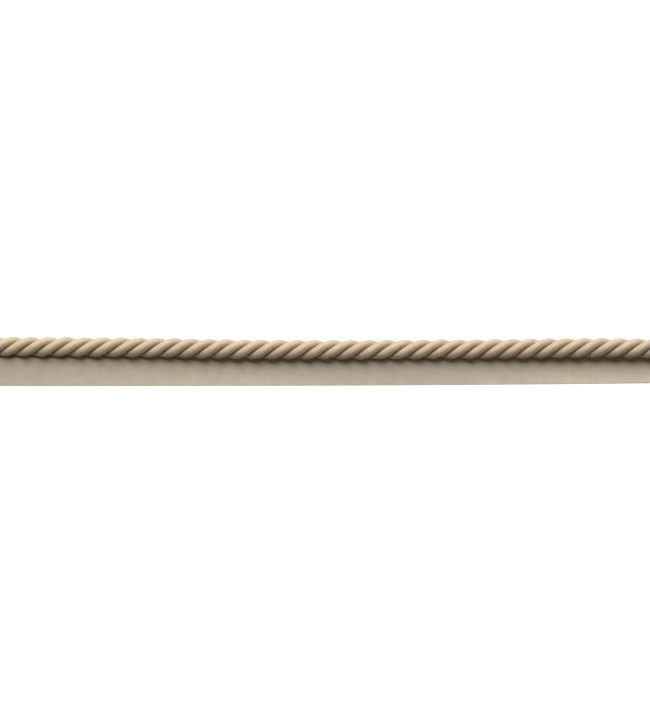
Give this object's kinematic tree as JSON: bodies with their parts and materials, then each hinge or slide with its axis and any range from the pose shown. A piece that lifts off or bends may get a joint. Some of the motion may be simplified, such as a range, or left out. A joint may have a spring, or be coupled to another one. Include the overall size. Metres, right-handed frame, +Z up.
{
  "type": "cord trim with tape",
  "caption": "Cut length of upholstery trimming: a twisted three-ply cord sewn along the inner edge of a twill tape whose free lip is caught in a seam.",
  "frame": {"origin": "middle of the cut length and of its width, on the surface that the trim lies on", "axes": "+X along the length to the right as the trim is seen with its face up, +Y from the tape's free edge towards the cord, +Z up, away from the surface"},
  "size_m": [0.34, 0.0248, 0.0114],
  "materials": {
    "cord_yarn": "close-wound matt yarn with a slight sheen, warm beige",
    "twill_tape": "fine matt twill weave, greyed beige"
  },
  "bodies": {
    "root": {"ply_full": "cord_yarn", "ply_slim": "cord_yarn", "ply_even": "cord_yarn", "tape": "twill_tape"}
  },
  "joints": []
}
